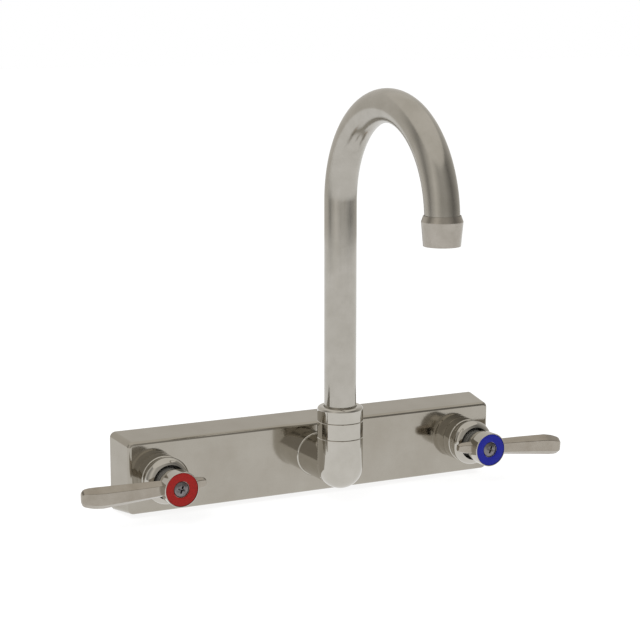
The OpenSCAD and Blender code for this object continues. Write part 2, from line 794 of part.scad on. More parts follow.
module stream_straightener() {
    pitch = 3 * straightener_hole_r;
    color("#e6e6e2") translate([0, outlet_y, straightener_bottom]) difference() {
        union() {
            cylinder(r = straightener_r, h = straightener_thickness);
            translate([0, 0, straightener_thickness - straightener_rim])
                cylinder(r = spout_r, h = straightener_rim);
        }
        for (row = [0 : 2]) for (i = [0 : max(0, 6 * row - 1)])
            rotate(row > 0 ? 60 * i / row : 0) translate([row * pitch, 0, -over])
                cylinder(r = straightener_hole_r, h = straightener_thickness + 2 * over);
    }
}

body_shell();
back_plate();
waterway();
waterway_orings();
valve_body(hot);  // hot_valve_body
valve_body(cold);  // cold_valve_body
shank_gaskets();
shank_washers();
shank_nuts();
bonnet(hot);  // hot_bonnet
bonnet(cold);  // cold_bonnet
cartridge(hot);  // hot_cartridge
cartridge(cold);  // cold_cartridge
cartridge_oring(hot);  // hot_cartridge_oring
cartridge_oring(cold);  // cold_cartridge_oring
seat_seal(hot);  // hot_seat_seal
seat_seal(cold);  // cold_seat_seal
fixed_disc(hot);  // hot_fixed_disc
fixed_disc(cold);  // cold_fixed_disc
moving_disc(hot);  // hot_moving_disc
moving_disc(cold);  // cold_moving_disc
stem(hot);  // hot_stem
stem(cold);  // cold_stem
stem_oring(hot);  // hot_stem_oring
stem_oring(cold);  // cold_stem_oring
handle(hot);  // hot_handle
handle(cold);  // cold_handle
index_ring(hot);  // hot_index_ring
index_ring(cold);  // cold_index_ring
handle_screw(hot);  // hot_handle_screw
handle_screw(cold);  // cold_handle_screw
outlet_elbow();
elbow_oring();
swivel_ring();
spout_nut();
spout_bushing();
spout_ferrule();
spout_orings();
gooseneck();
outlet_sleeve();
outlet_seal();
stream_straightener();
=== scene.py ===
"""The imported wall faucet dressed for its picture: smooth metal pieces, their finishes, and a plain studio."""

import json
import logging
import math
from collections.abc import Callable, Iterator, Sequence
from contextlib import contextmanager
from dataclasses import dataclass, field
from enum import Enum
from typing import Any

import bmesh
import bpy
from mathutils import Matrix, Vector


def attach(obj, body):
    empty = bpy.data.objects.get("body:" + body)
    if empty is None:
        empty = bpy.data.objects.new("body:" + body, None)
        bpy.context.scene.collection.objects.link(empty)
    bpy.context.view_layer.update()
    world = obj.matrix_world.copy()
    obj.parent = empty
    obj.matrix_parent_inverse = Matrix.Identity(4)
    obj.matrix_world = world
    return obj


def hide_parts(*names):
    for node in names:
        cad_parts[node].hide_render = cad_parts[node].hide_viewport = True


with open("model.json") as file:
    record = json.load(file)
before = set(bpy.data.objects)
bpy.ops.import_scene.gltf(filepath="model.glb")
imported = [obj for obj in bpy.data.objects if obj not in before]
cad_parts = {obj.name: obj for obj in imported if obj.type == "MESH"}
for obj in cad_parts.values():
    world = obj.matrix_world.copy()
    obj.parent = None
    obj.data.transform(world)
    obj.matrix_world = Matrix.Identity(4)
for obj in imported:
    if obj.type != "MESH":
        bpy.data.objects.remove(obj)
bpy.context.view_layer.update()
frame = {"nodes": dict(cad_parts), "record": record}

LOG = logging.getLogger("wall_faucet")
MM = 0.001  # Blender works in metres, and every size here is in millimetres
MERGE = 0.002  # corners closer than this are one corner
ALONG = 0.9  # a normal or an edge with this share of an axis runs along it

Place = Vector
Piece = bpy.types.Object
Tree = bpy.types.NodeTree
Output = bpy.types.NodeSocket
Point = tuple[float, float]
Corner = tuple[float, float, float]
Colour = tuple[float, float, float, float]
Shares = tuple[float, float, float, float, float]
Material = bpy.types.Material

VALVE_X = 101.6  # from the middle to each valve's axis
COVER_DEPTH = 22.5
SPOUT_OUT = 53.0  # from the wall to the spout's swivel axis
OUTLET_RISE = 1.5
COLUMN_R = 13.4


class Side(Enum):
    """The two supplies, as seen from in front of the faucet."""

    HOT = "hot"
    COLD = "cold"

    @property
    def sign(self) -> int:
        """-1 for the hot side at the left, 1 for the cold side at the right."""
        return -1 if self is Side.HOT else 1


class Part(Enum):
    """What an edit-mode selection picks."""

    CORNERS = "VERT"
    EDGES = "EDGE"
    FACES = "FACE"


class Cut(Enum):
    """How a second shape works on a piece."""

    AWAY = "DIFFERENCE"
    JOINED = "UNION"
    COMMON = "INTERSECT"


def linear(colour: str) -> Colour:
    """Turns a colour as seen on screen into the linear values that a shader takes.

    Args:
        colour: An sRGB colour such as "#a5a096".

    Returns:
        Linear red, green, blue and a full alpha.
    """
    parts = [int(colour[i : i + 2], 16) / 255 for i in (1, 3, 5)]
    return (*(c / 12.92 if c <= 0.04045 else ((c + 0.055) / 1.055) ** 2.4 for c in parts), 1.0)


def grey(tone: float, green: float = 1.0, blue: float = 1.0) -> Colour:
    """A linear grey of one tone, made warm by less green and blue."""
    return (tone, green * tone, blue * tone, 1.0)


# The bench: small operations that shape a piece as by hand


def put_down() -> None:
    """Leaves edit mode and lets go of everything."""
    if bpy.context.object and bpy.context.object.mode != "OBJECT":
        bpy.ops.object.mode_set(mode="OBJECT")
    bpy.ops.object.select_all(action="DESELECT")


def take_up(piece: Piece) -> None:
    """Makes a piece the only one selected, and the active one."""
    put_down()
    piece.select_set(True)
    bpy.context.view_layer.objects.active = piece


@contextmanager
def shaping(piece: Piece) -> Iterator[None]:
    """Keeps a piece in edit mode for the length of a with block."""
    take_up(piece)
    bpy.ops.object.mode_set(mode="EDIT")
    bpy.ops.mesh.select_mode(type=Part.CORNERS.value)
    bpy.ops.mesh.select_all(action="DESELECT")
    yield
    bpy.ops.object.mode_set(mode="OBJECT")


def choose(piece: Piece, part: Part, test: Callable[[Place, Vector], bool]) -> None:
    """Selects corners, edges or faces of the piece in edit mode by where they are.

    Args:
        piece: The mesh that is being shaped.
        part: What to select.
        test: Gets the middle in millimetres and the normal, or an edge's direction.
    """
    bpy.ops.mesh.select_mode(type=part.value)
    bpy.ops.mesh.select_all(action="DESELECT")
    mesh = bmesh.from_edit_mesh(piece.data)
    if part is Part.CORNERS:
        items = [(v, v.co, v.normal) for v in mesh.verts]
    elif part is Part.EDGES:
        ends = [(e, e.verts[0].co, e.verts[1].co) for e in mesh.edges]
        items = [(e, (a + b) / 2, (b - a).normalized()) for e, a, b in ends]
    else:
        items = [(f, f.calc_center_median(), f.normal) for f in mesh.faces]
    for item, middle, direction in items:
        if test(middle / MM, direction):
            item.select_set(True)
    mesh.select_flush_mode()
    bmesh.update_edit_mesh(piece.data)


def choose_all() -> None:
    """Selects all of the piece in edit mode."""
    bpy.ops.mesh.select_all(action="SELECT")


def close_up() -> None:
    """Merges doubled corners of the piece in edit mode and turns its faces outwards."""
    choose_all()
    bpy.ops.mesh.remove_doubles(threshold=MERGE * MM)
    bpy.ops.mesh.normals_make_consistent(inside=False)


def settle(name: str) -> Piece:
    """Names the primitive that was just added and puts its place into its mesh."""
    piece = bpy.context.object
    piece.name = piece.data.name = name
    bpy.ops.object.transform_apply(location=True, rotation=True, scale=True)
    return piece


def add_block(name: str, size: Sequence[float], middle: Sequence[float], turn: float = 0.0) -> Piece:
    """Adds a block of three sizes in millimetres, turned round the out-of-wall axis."""
    put_down()
    bpy.ops.mesh.primitive_cube_add(
        size=1, location=Vector(middle) * MM, rotation=(0, turn, 0), scale=Vector(size) * MM
    )
    return settle(name)


def twin_of(piece: Piece, name: str) -> Piece:
    """Adds a copy of a piece that has its place in its mesh."""
    twin = bpy.data.objects.new(name, piece.data.copy())
    bpy.context.scene.collection.objects.link(twin)
    return twin


def work(piece: Piece, kind: str, **settings: Any) -> None:
    """Adds a modifier with its settings and applies it at once.

    Args:
        piece: The mesh that it works on.
        kind: Blender's name of the modifier's type.
        **settings: The modifier's own settings.
    """
    take_up(piece)
    bpy.ops.object.modifier_add(type=kind)
    modifier = piece.modifiers[-1]
    for key, value in settings.items():
        setattr(modifier, key, value)
    bpy.ops.object.modifier_apply(modifier=modifier.name)


def combine(piece: Piece, tool: Piece, cut: Cut) -> None:
    """Cuts with, joins on or keeps the common part with a second shape, which is used up."""
    work(piece, "BOOLEAN", object=tool, operation=cut.value, solver="EXACT")
    bpy.data.objects.remove(tool)


def smooth(piece: Piece, crease_deg: float = 32.0, weighted: bool = True) -> None:
    """Shades a piece smooth up to a crease angle, and lets its large faces stay flat."""
    take_up(piece)
    bpy.ops.object.shade_smooth_by_angle(angle=math.radians(crease_deg))
    if weighted:
        work(piece, "WEIGHTED_NORMAL", keep_sharp=True, weight=80)


def eased(corners: Sequence[Corner], steps: int = 5) -> list[Point]:
    """Rounds each corner of a closed outline to its own radius.

    Args:
        corners: (radius from the axis, distance along it, corner radius), in millimetres.
        steps: Edges in each rounded corner.

    Returns:
        The outline's points, in order.
    """
    outline: list[Point] = []
    for i, (r, d, ease) in enumerate(corners):
        here = Vector((r, d))
        if ease <= 0:
            outline.append((r, d))
            continue
        back = (Vector(corners[i - 1][:2]) - here).normalized()
        on = (Vector(corners[(i + 1) % len(corners)][:2]) - here).normalized()
        half = back.angle(on) / 2
        middle = here + (back + on).normalized() * ease / math.sin(half)
        first = here + back * ease / math.tan(half) - middle
        last = here + on * ease / math.tan(half) - middle
        swing = first.angle_signed(last)
        for k in range(steps + 1):
            c, s = math.cos(-swing * k / steps), math.sin(-swing * k / steps)
            outline.append((middle.x + first.x * c - first.y * s, middle.y + first.x * s + first.y * c))
    return outline


def arc(middle: Point, radius: float, start_deg: float, end_deg: float, steps: int) -> list[Point]:
    """Points along an arc of an outline, from one angle to the other.

    Args:
        middle: The arc's middle, as radius from the axis and distance along it.
        radius: The arc's own radius.
        start_deg: Where it starts, counted from straight outwards.
        end_deg: Where it ends.
        steps: Edges in the arc.

    Returns:
        The arc's points, in order.
    """
    angles = [math.radians(start_deg + (end_deg - start_deg) * k / steps) for k in range(steps + 1)]
    return [(middle[0] + radius * math.cos(a), middle[1] + radius * math.sin(a)) for a in angles]


@dataclass(frozen=True)
class Spindle:
    """The axis of a lathe: where it starts, which way it runs, and where radius is measured."""

    start: Corner
    along: Corner
    across: Corner = (1.0, 0.0, 0.0)

    def at(self, r: float, d: float) -> Place:
        """The place of a point at a radius and a distance along the axis, in metres."""
        return (Vector(self.start) + Vector(self.across) * r + Vector(self.along) * d) * MM

    def turn(self, name: str, outline: Sequence[Point], steps: int = 96) -> Piece:
        """Turns a closed outline into a ring or a plug, as on a lathe.

        Args:
            name: The new piece's name.
            outline: (radius, distance along the axis) of each corner, in millimetres.
            steps: Facets round the axis.

        Returns:
            The new piece.
        """
        places = [self.at(r, d) for r, d in outline]
        put_down()
        bpy.ops.mesh.primitive_plane_add(size=MM, location=places[0])
        piece = settle(name)
        with shaping(piece):
            choose_all()
            bpy.ops.mesh.merge(type="CENTER")
            for here, there in zip(places, places[1:]):
                bpy.ops.mesh.extrude_vertices_move(TRANSFORM_OT_translate={"value": there - here})
            if max(outline[0][0], outline[-1][0]) > MERGE:
                ends = (places[0] / MM, places[-1] / MM)
                choose(piece, Part.CORNERS, lambda p, _: min((p - e).length for e in ends) < MERGE)
                bpy.ops.mesh.edge_face_add()
            choose_all()
            bpy.ops.mesh.spin(steps=steps, angle=math.tau, center=Vector(self.start) * MM, axis=self.along)
            close_up()
        return piece


# Finishes


def add_node(
    tree: Tree, kind: str, sockets: dict[str | int, Any] | None = None, **settings: Any
) -> bpy.types.Node:
    """Adds a shader node with its settings, socket values and links.

    Args:
        tree: The node tree that it goes into.
        kind: The node's type name after "ShaderNode".
        sockets: For each input, a value, or another node's output to link from.
        **settings: The node's own settings.

    Returns:
        The new node.
    """
    node = tree.nodes.new("ShaderNode" + kind)
    for key, value in settings.items():
        setattr(node, key, value)
    for key, value in (sockets or {}).items():
        if isinstance(value, Output):
            tree.links.new(value, node.inputs[key])
        else:
            node.inputs[key].default_value = value
    return node


def add_noise(tree: Tree, place: Output, scale: float, detail: float, rough: float = 0.5) -> Output:
    """Adds a noise pattern and gives its grey output."""
    sockets = {"Vector": place, "Scale": scale, "Detail": detail, "Roughness": rough}
    return add_node(tree, "TexNoise", sockets).outputs["Fac"]


def remap(tree: Tree, value: Output, source: Point, target: Point = (0.0, 1.0)) -> Output:
    """Maps one range of a value to another."""
    ends = dict(zip(("From Min", "From Max", "To Min", "To Max"), (*source, *target)))
    return add_node(tree, "MapRange", {"Value": value, **ends}).outputs["Result"]


def blend(tree: Tree, share: Output, colour: str, other: str) -> Output:
    """Mixes two colours as seen on screen by a share."""
    sockets = {"Factor": share, "A": linear(colour), "B": linear(other)}
    return add_node(tree, "Mix", sockets, data_type="RGBA").outputs["Result"]


def greater(tree: Tree, one: Output, other: Output) -> Output:
    """Gives the greater of two values."""
    return add_node(tree, "Math", {0: one, 1: other}, operation="MAXIMUM").outputs[0]


def coat_with(tree: Tree, looks: dict[str, Any]) -> None:
    """Ends a material with a surface of these looks."""
    surface = add_node(tree, "BsdfPrincipled", looks)
    add_node(tree, "OutputMaterial", {"Surface": surface.outputs["BSDF"]})


def new_material(name: str) -> tuple[Material, Tree]:
    """Makes an empty node material and returns it with its tree."""
    material = bpy.data.materials.new(name)
    material.use_nodes = True
    material.node_tree.nodes.clear()
    return material, material.node_tree


@dataclass(frozen=True)
class Metal:
    """A solid metal surface, from a mirror polish to a brushed or cast one."""

    name: str
    bright: str
    dull: str
    roughness: tuple[float, float]
    cloud_mm: float
    line_mm: Corner
    line_depth_mm: float
    wave_mm: float = 0.0
    wave_depth_mm: float = 0.0
    layer: str = ""
    blur_from_mm: float = 0.0
    blur: float = 0.0

    def material(self) -> Material:
        """Mixes the node material: clouds in the colour, fine lines in gloss and height, slow waves."""
        material, tree = new_material(self.name)
        if self.layer:
            place = add_node(tree, "Attribute", attribute_name=self.layer).outputs["Vector"]
        else:
            place = add_node(tree, "TexCoord").outputs["Object"]
        cloud = add_noise(tree, place, 1 / (self.cloud_mm * MM), 4.0, 0.6)
        widths = [1 / (w * MM) for w in self.line_mm]
        stretch = add_node(tree, "Mapping", {"Vector": place, "Scale": widths}).outputs["Vector"]
        lines = add_noise(tree, stretch, 1.0, 3.0, 0.65)
        colour = blend(tree, remap(tree, cloud, (0.35, 0.68)), self.bright, self.dull)
        gloss = remap(tree, lines, (0.3, 0.7), self.roughness)
        if self.blur:
            along = add_node(tree, "SeparateXYZ", {0: place}).outputs["Z"]
            span = (self.blur_from_mm * MM, (self.blur_from_mm + self.cloud_mm) * MM)
            more = remap(tree, along, span, (0.0, self.blur))
            gloss = add_node(tree, "Math", {0: gloss, 1: more}, operation="ADD").outputs[0]
        bump = add_node(tree, "Bump", {"Height": lines, "Strength": 1.0, "Distance": self.line_depth_mm * MM})
        if self.wave_mm:
            waves = add_noise(tree, place, 1 / (self.wave_mm * MM), 0.0)
            depth = self.wave_depth_mm * MM
            slow = add_node(tree, "Bump", {"Height": waves, "Strength": 1.0, "Distance": depth})
            tree.links.new(slow.outputs["Normal"], bump.inputs["Normal"])
        looks = {"Base Color": colour, "Metallic": 1.0, "Roughness": gloss, "Normal": bump.outputs["Normal"]}
        coat_with(tree, looks)
        return material


@dataclass(frozen=True)
class Solid:
    """A moulded, pressed, glazed or painted surface with no metal gloss."""

    name: str
    colour: str
    shade: str
    roughness: float
    speck_mm: float
    pit_depth_mm: float
    coat: float = 0.0
    sheen: float = 0.5

    def material(self) -> Material:
        """Mixes the node material: specks in the colour and a fine grain."""
        material, tree = new_material(self.name)
        place = add_node(tree, "TexCoord").outputs["Object"]
        specks = add_noise(tree, place, 1 / (self.speck_mm * MM), 5.0, 0.7)
        colour = blend(tree, remap(tree, specks, (0.4, 0.7)), self.colour, self.shade)
        bump = add_node(tree, "Bump", {"Height": specks, "Strength": 1.0, "Distance": self.pit_depth_mm * MM})
        looks = {
            "Base Color": colour, "Roughness": self.roughness, "Normal": bump.outputs["Normal"],
            "Coat Weight": self.coat, "Coat Roughness": 0.15, "Specular IOR Level": self.sheen,
        }
        coat_with(tree, looks)
        return material


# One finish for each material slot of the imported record.
# Line widths are several times those of real polishing lines, which no picture of this size could hold
FINISHES: dict[str, Metal | Solid] = {
    # Buffed stainless sheet: near-mirror, with slow waves from pressing
    "satin_cover": Metal(
        "stainless_sheet_buffed", "#aea99f", "#a59f94", (0.07, 0.12), 30.0, (6.0, 6.0, 0.5), 0.0012,
        wave_mm=38.0, wave_depth_mm=0.05,
    ),
    # Nickel-chromium plate: a true mirror with hardly any lines
    "polished_chrome": Metal(
        "chrome_plate_mirror", "#c2beb6", "#b8b4ab", (0.03, 0.06), 18.0, (1.2, 1.2, 1.2), 0.0004,
        wave_mm=14.0, wave_depth_mm=0.012,
    ),
    # Cast lever, belt-polished along its length
    "satin_lever": Metal(
        "cast_lever_belt_polished", "#aba499", "#9f978b", (0.15, 0.24), 9.0, (7.0, 0.6, 0.6), 0.0012
    ),
    # Drawn stainless tube, brushed along: streaks that run with the bend, duller from there on
    "brushed_tube": Metal(
        "stainless_tube_brushed", "#b9b5ad", "#aeaaa1", (0.09, 0.15), 16.0, (0.6, 0.6, 26.0), 0.0016,
        wave_mm=24.0, wave_depth_mm=0.02, layer="pipe_place", blur_from_mm=150.0, blur=0.09,
    ),
    # Turned outlet sleeve: rougher lines down its cone
    "brushed_sleeve": Metal(
        "stainless_sleeve_brushed", "#b4aea5", "#a8a298", (0.16, 0.26), 8.0, (0.45, 0.45, 6.0), 0.0018
    ),
    # Enamel inlays that mark the supplies: dense colour, low gloss
    "red_index": Solid("red_enamel_fired", "#a41812", "#8c130e", 0.45, 0.9, 0.003, 0.0, 0.3),
    "blue_index": Solid("blue_enamel_fired", "#141f9c", "#111884", 0.45, 0.9, 0.003, 0.0, 0.3),
    # Passivated steel screw: dark grey with a dry gleam
    "dark_screw": Metal(
        "steel_screw_passivated", "#8d898a", "#6f6c6c", (0.24, 0.36), 2.0, (0.4, 0.4, 0.4), 0.003
    ),
    # Machined brass, slightly tarnished: warm, with turning lines
    "brass": Metal("brass_machined", "#c9a667", "#a98548", (0.22, 0.36), 7.0, (4.0, 0.35, 4.0), 0.004),
    # Sintered alumina valve discs: hard white with a faint grain
    "ceramic": Solid("alumina_sintered", "#e9e6de", "#dcd7cc", 0.22, 0.6, 0.001, 0.2),
    # Glass-filled nylon: matt grey with a moulded grain
    "grey_nylon": Solid("nylon_grey_moulded", "#77756f", "#67655f", 0.5, 0.5, 0.006),
    # Unfilled nylon: milky and slightly waxy
    "white_nylon": Solid("nylon_white_moulded", "#e4e1d8", "#d6d2c7", 0.42, 0.7, 0.004),
    # Nitrile rubber: matt black with a dusty bloom
    "black_rubber": Solid("nitrile_rubber_moulded", "#1d1d1e", "#2b2a2a", 0.68, 0.6, 0.006),
    # Vulcanised fibre: pressed red-brown paper with flecks
    "fibre": Solid("vulcanised_fibre_pressed", "#6b3a2c", "#57291f", 0.75, 0.8, 0.01),
    # Zinc-plated pressed steel: grey with clouded spangle
    "plain_steel": Metal("steel_plate_zinc", "#a9abab", "#8f9192", (0.30, 0.46), 6.0, (2.0, 2.0, 2.0), 0.004),
}


@dataclass
class Wardrobe:
    """Makes each finish's material once and puts it on pieces and CAD nodes."""

    made: dict[str, Material] = field(default_factory=dict)
    covered: set[str] = field(default_factory=set)

    def cloth(self, slot: str) -> Material:
        """The material of one slot, made when it is first asked for."""
        if slot not in self.made:
            self.made[slot] = FINISHES[slot].material()
        return self.made[slot]

    def wear(self, piece: Piece, slot: str, body: str, *nodes: str) -> None:
        """Dresses a finished piece, lets it ride on its body, and has it stand for CAD nodes.

        Args:
            piece: The finished piece, with its place in its mesh.
            slot: The record's material slot.
            body: The CAD body that carries it.
            *nodes: The CAD nodes that it stands for.
        """
        put_down()
        if not piece.data.materials:
            piece.data.materials.append(self.cloth(slot))
        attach(piece, body)
        if nodes:
            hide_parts(*nodes)
            self.covered.update(nodes)
        LOG.info("%s: %d faces, rides on %s", piece.name, len(piece.data.polygons), body)

    def dress_cad(self) -> None:
        """Gives every CAD node that still shows the finish of its slot in the record."""
        for part in frame["record"]["subparts"]:
            if part["node"] in self.covered:
                continue
            mesh = frame["nodes"][part["node"]].data
            mesh.materials.clear()
            mesh.materials.append(self.cloth(part["material_slot"]))
            LOG.info("%s: CAD node in %s", part["node"], part["material_slot"])


# The faucet's sub-assemblies. Sizes follow the CAD source, but for threads, lips and the elbow's barrel


@dataclass
class Cover:
    """The one-piece pressed cover, open at the wall."""

    wall_size: Point = (246.0, 47.0)
    front_size: Point = (240.4, 42.4)
    depth: float = COVER_DEPTH
    sheet: float = 1.5
    rim: float = 0.6
    bend: float = 2.0
    corner: float = 3.4
    valve_x: float = VALVE_X
    valve_hole: float = 11.3
    boss_hole: float = 9.8
    boss_rise: float = OUTLET_RISE

    def build(self, wardrobe: Wardrobe) -> None:
        """Presses the cover from a block: drafted sides, rounded bends, sheet thickness and three holes."""
        long, tall = self.wall_size
        cover = add_block("cover_sheet", (long, self.depth, tall), (0, -self.depth / 2, 0))
        with shaping(cover):
            choose(cover, Part.FACES, lambda p, n: n.y < -ALONG)
            bpy.ops.transform.resize(value=(self.front_size[0] / long, 1, self.front_size[1] / tall))
            choose(cover, Part.FACES, lambda p, n: n.y > ALONG)
            bpy.ops.mesh.delete(type="ONLY_FACE")
            choose(cover, Part.EDGES, lambda p, n: abs(n.y) > ALONG)
            bpy.ops.mesh.bevel(offset=self.corner * MM, segments=7, affect="EDGES")
            choose(cover, Part.EDGES, lambda p, n: p.y < 0.01 - self.depth)
            bpy.ops.mesh.bevel(offset=self.bend * MM, segments=7, affect="EDGES")
            choose_all()
            bpy.ops.mesh.normals_make_consistent(inside=False)
        work(cover, "SOLIDIFY", thickness=self.sheet * MM, offset=-1, use_even_offset=True)
        with shaping(cover):
            choose(cover, Part.CORNERS, lambda p, n: p.y > -self.rim)
            bpy.ops.transform.resize(value=(1, 0, 1), center_override=(0, 0, 0))
        near, far = self.depth / 2, 2 * self.depth
        holes = [(side.sign * self.valve_x, 0.0, self.valve_hole) for side in Side]
        for x, z, r in [*holes, (0.0, self.boss_rise, self.boss_hole)]:
            outline = [(0, near), (r, near), (r, far), (0, far)]
            combine(cover, Spindle((x, 0, z), (0, -1, 0)).turn("cover_drill", outline), Cut.AWAY)
        smooth(cover)
        wardrobe.wear(cover, "satin_cover", "faucet_body", "body_shell")


@dataclass
class Valve:
    """One side's valve: its shank with threads, bonnet, lever, index ring and screw."""

    side: Side
    droop_deg: float
    valve_x: float = VALVE_X
    shank_r: float = 10.45
    shank_end: float = 29.0
    bore_r: float = 6.0
    thread_depth: float = 0.95
    thread_steps: int = 40
    thread_pitch: float = 1.81
    relief: Point = (15.4, 17.0)
    seam: float = 0.2
    tip_chamfer: float = 0.9
    bonnet_r: float = 13.4
    bonnet_lip: Point = (9.4, 31.5)
    ring_seat: float = 55.62
    screw_r: float = 2.2
    screw_head_r: float = 4.5
    wing: Corner = (7.2, 3.4, 1.7)
    wing_taper: float = 0.3
    wing_turns: Point = (20.0, 110.0)
    ridge_ease: float = 0.55
    ridge_deg: float = 24.0
    dome_middle: Point = (9.0, 34.3)
    dome_r: float = 4.7
    hub_r: float = 10.3
    hub_front: float = 56.7
    lever_reach: float = 56.3
    tail_reach: float = 18.2
    lever_front: float = 52.5
    lever_thickness: float = 8.0
    lever_face: float = 3.4
    lever_half: float = 6.4
    waist_share: float = 0.55
    back_share: float = 0.7
    front_loss: float = 0.65

    # Shares of the reach, the face's half height, the widest half height, the thickness and the offset
    lever_shares: tuple[Shares, ...] = (
        (0.10, 0.78, 0.72, 1.0, 0.0), (0.28, 0.83, 0.80, 1.0, 0.0), (0.44, 0.88, 0.87, 1.0, 0.0),
        (0.62, 0.94, 0.94, 1.0, 0.01), (0.78, 1.0, 1.0, 1.0, 0.02), (0.84, 1.0, 0.985, 0.99, 0.065),
        (0.88, 0.99, 0.96, 0.96, 0.1), (0.92, 0.955, 0.915, 0.86, 0.15), (0.96, 0.9, 0.84, 0.72, 0.19),
        (0.982, 0.80, 0.75, 0.57, 0.2), (0.995, 0.64, 0.60, 0.42, 0.2), (1.0, 0.44, 0.42, 0.28, 0.2),
    )
    tail_shares: tuple[Shares, ...] = (
        (0.30, 0.76, 0.66, 1.0, 0.0), (0.60, 0.71, 0.58, 0.87, 0.0), (0.84, 0.65, 0.50, 0.70, 0.0),
        (0.93, 0.55, 0.43, 0.57, 0.0), (0.98, 0.43, 0.34, 0.44, 0.0), (1.0, 0.32, 0.26, 0.34, 0.0),
    )

    @property
    def name(self) -> str:
        """The side's word, which starts the names of its pieces."""
        return self.side.value

    @property
    def spindle(self) -> Spindle:
        """The valve's axis, running out of the wall."""
        return Spindle((self.side.sign * self.valve_x, 0, 0), (0, -1, 0))

    def build(self, wardrobe: Wardrobe) -> None:
        """Builds and dresses the side's pieces from the wall outwards."""
        self.build_shank(wardrobe)
        self.build_bonnet(wardrobe)
        self.build_handle(wardrobe)
        self.build_index_ring(wardrobe)
        self.build_screw(wardrobe)

    def build_shank(self, wardrobe: Wardrobe) -> None:
        """Keeps the CAD body's front half and gives it a shank with two real threads."""
        node = self.name + "_valve_body"
        body = twin_of(frame["nodes"][node], self.name + "_valve_casting")
        body.data.materials.clear()
        with shaping(body):
            choose_all()
            bpy.ops.mesh.remove_doubles(threshold=MERGE * MM)
            seam = (0, self.seam * MM, 0)
            bpy.ops.mesh.bisect(plane_co=seam, plane_no=(0, 1, 0), use_fill=True, clear_outer=True)
        root, bore, end = self.shank_r - self.thread_depth, self.bore_r, self.shank_end
        low, high = self.relief
        tip, neck = end - self.tip_chamfer, root - 0.2
        outline = [
            (bore, -self.seam, 0), (self.shank_r, -self.seam, 0), (self.shank_r, -1.4, 0.3),
            (root, -2.4, 0.2), (root, -low, 0), (neck, -low - 0.2, 0), (neck, -high + 0.2, 0),
            (root, -high, 0), (root, -tip, 0), (root - self.tip_chamfer, -end, 0.2), (bore, -end, 0.3),
        ]
        shank = self.spindle.turn(self.name + "_shank", eased(outline, 2), 64)
        smooth(shank, 30, weighted=False)
        threads = [self.build_thread(2.6, low - 0.6), self.build_thread(high + 0.6, tip - 0.4)]
        take_up(body)
        for part in (shank, *threads):
            part.select_set(True)
        bpy.ops.object.join()
        wardrobe.wear(body, "brass", "faucet_body", node)

    def build_thread(self, start: float, end: float) -> Piece:
        """Winds one ridge of thread round the shank between two distances behind the wall.

        Args:
            start: Where the ridge begins, behind the wall face.
            end: Where it ends.

        Returns:
            The ridge as a closed band that bites into the shank's root.
        """
        root, crest, half = self.shank_r - self.thread_depth - 0.1, self.shank_r, self.thread_pitch / 2
        outline = [(root, 0.92 * half), (crest, 0.14 * half), (crest, -0.14 * half), (root, -0.92 * half)]
        put_down()
        bpy.ops.mesh.primitive_circle_add(vertices=len(outline), radius=MM)
        ridge = settle(self.name + "_thread")
        for corner, (radius, along) in zip(ridge.data.vertices, outline):
            corner.co = Vector((radius, start + along, 0)) * MM
        turns = (end - start) / self.thread_pitch
        steps = round(turns * self.thread_steps)
        work(
            ridge, "SCREW", axis="Y", angle=math.tau * turns, screw_offset=(end - start) * MM,
            steps=steps, render_steps=steps,
        )
        with shaping(ridge):
            choose_all()
            bpy.ops.mesh.fill_holes(sides=len(outline))
            bpy.ops.mesh.normals_make_consistent(inside=False)
            bpy.ops.transform.translate(value=(self.side.sign * self.valve_x * MM, 0, 0))
        smooth(ridge, 30, weighted=False)
        return ridge

    def build_bonnet(self, wardrobe: Wardrobe) -> None:
        """Turns the bonnet: plain skirt, fine groove, and a rolled dome that opens on the cartridge."""
        lip_r, lip_d = self.bonnet_lip
        outline = eased(
            [
                (11.05, COVER_DEPTH, 0.1), (self.bonnet_r, COVER_DEPTH, 0.25), (self.bonnet_r, 29.1, 0.25),
                (13.0, 29.5, 0.15), (13.0, 31.7, 0),
            ],
            3,
        )
        outline += arc(self.dome_middle, self.dome_r, -30, 75, 14)
        outline += eased([(outline[-1][0] - 0.25, 38.3, 0), (lip_r, lip_d, 0), (11.05, lip_d, 0)], 2)
        bonnet = self.spindle.turn(self.name + "_bonnet_turned", outline, 128)
        smooth(bonnet, 35, weighted=False)
        wardrobe.wear(bonnet, "polished_chrome", "faucet_body", self.name + "_bonnet")

    def lever_corner(self, reach: float, shares: Shares, up: int, layer: int) -> Place:
        """The place of one of a cross-section's six corners.

        Args:
            reach: The full reach of the blade, negative for the tail.
            shares: One row of the blade's table.
            up: 1 for the upper half, -1 for the lower.
            layer: 0 for the front face, 1 for the widest line, 2 for the back.

        Returns:
            The corner's place in metres.
        """
        thickness = self.lever_thickness * shares[3]
        front = self.lever_front - (self.lever_thickness - thickness) * self.front_loss
        out = (front, front - self.waist_share * thickness, front - thickness)[layer]
        half = self.lever_half * shares[2]
        height = up * (self.lever_face * shares[1], half, self.back_share * half)[layer]
        height -= self.lever_half * shares[4]
        along = reach * shares[0]
        turn = math.radians(180 + self.droop_deg if self.side is Side.HOT else -self.droop_deg)
        x = along * math.cos(turn) - height * math.sin(turn)
        z = along * math.sin(turn) + height * math.cos(turn)
        return Vector((self.side.sign * self.valve_x + x, -out, z)) * MM

